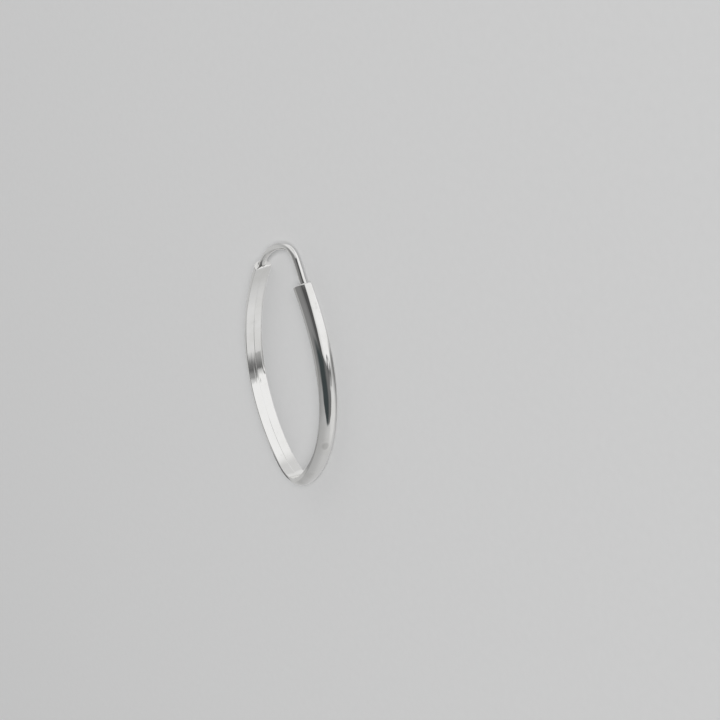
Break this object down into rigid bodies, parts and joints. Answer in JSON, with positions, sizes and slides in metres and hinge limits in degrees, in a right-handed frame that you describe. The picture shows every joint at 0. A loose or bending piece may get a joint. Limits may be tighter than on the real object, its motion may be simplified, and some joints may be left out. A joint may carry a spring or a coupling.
{
  "type": "oval hoop earring",
  "caption": "Tapering oval hoop earring: hollow half-round silver tube, open at the top, bridged by a round ear wire.",
  "frame": {"origin": "middle of the box at its bottom: the earring lies on its side, and the plane z = 0 is what it rests on", "axes": "+Z across the band, square to the hoop's plane; +Y from the foot of the oval to the ear wire; +X to the end that faces forward when it is worn"},
  "size_m": [0.022, 0.0356, 0.0027],
  "materials": {
    "hoop_tube": "polished silver with faint handling marks",
    "ear_wire": "polished silver wire"
  },
  "bodies": {
    "root": {"hoop_tube": "hoop_tube", "ear_wire": "ear_wire"}
  },
  "joints": []
}
